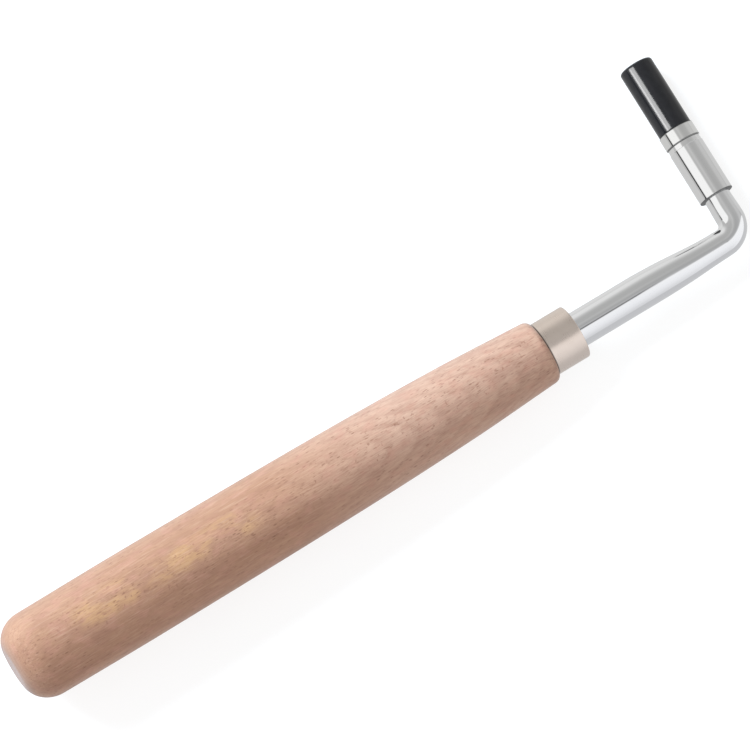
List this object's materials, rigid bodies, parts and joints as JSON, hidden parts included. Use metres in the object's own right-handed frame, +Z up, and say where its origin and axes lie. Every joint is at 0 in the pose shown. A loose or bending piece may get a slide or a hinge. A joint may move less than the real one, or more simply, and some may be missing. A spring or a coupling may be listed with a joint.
{
  "type": "tuning lever",
  "caption": "L-shaped tuning lever with a turned wooden handle, bent steel bar and a screw-in star socket tip.",
  "frame": {"origin": "on the table, under the centre of the tool's bounding box", "axes": "+Z up, with the tool lying as it rests on a table; +X along the handle towards the bend, +Y along the short leg towards the socket"},
  "size_m": [0.282, 0.0798, 0.0339],
  "materials": {
    "beech": "fine sanded, oiled",
    "satin_nickel": "satin, warm",
    "chrome": "polished chrome plate",
    "epoxy": "cured resin, hidden",
    "nickel_head": "bright plate, turned",
    "nickel_collar": "bright plate, turned",
    "black_steel": "black oxide, semi-gloss"
  },
  "bodies": {
    "lever": {"handle": "beech", "ferrule": "satin_nickel", "lever_rod": "chrome", "tang_adhesive": "epoxy", "head_sleeve": "nickel_head"},
    "collar": {"lock_collar": "nickel_collar"},
    "tip": {"socket_tip": "black_steel"}
  },
  "joints": [
    {"name": "tip_draw", "type": "slide", "parent": "lever", "child": "collar", "axis": [0.0158, 0.999, -0.0421], "range_m": [0, 0.00875]},
    {"name": "tip_turn", "type": "hinge", "parent": "collar", "child": "tip", "pos_m": [0.13468, 0.0096, 0.00707], "axis": [0.0158, 0.999, -0.0421], "range_deg": [0, 2520]}
  ],
  "couplings": [
    {"joint": "tip_turn", "follows": "tip_draw", "rad_per_m": 5026.5}
  ]
}
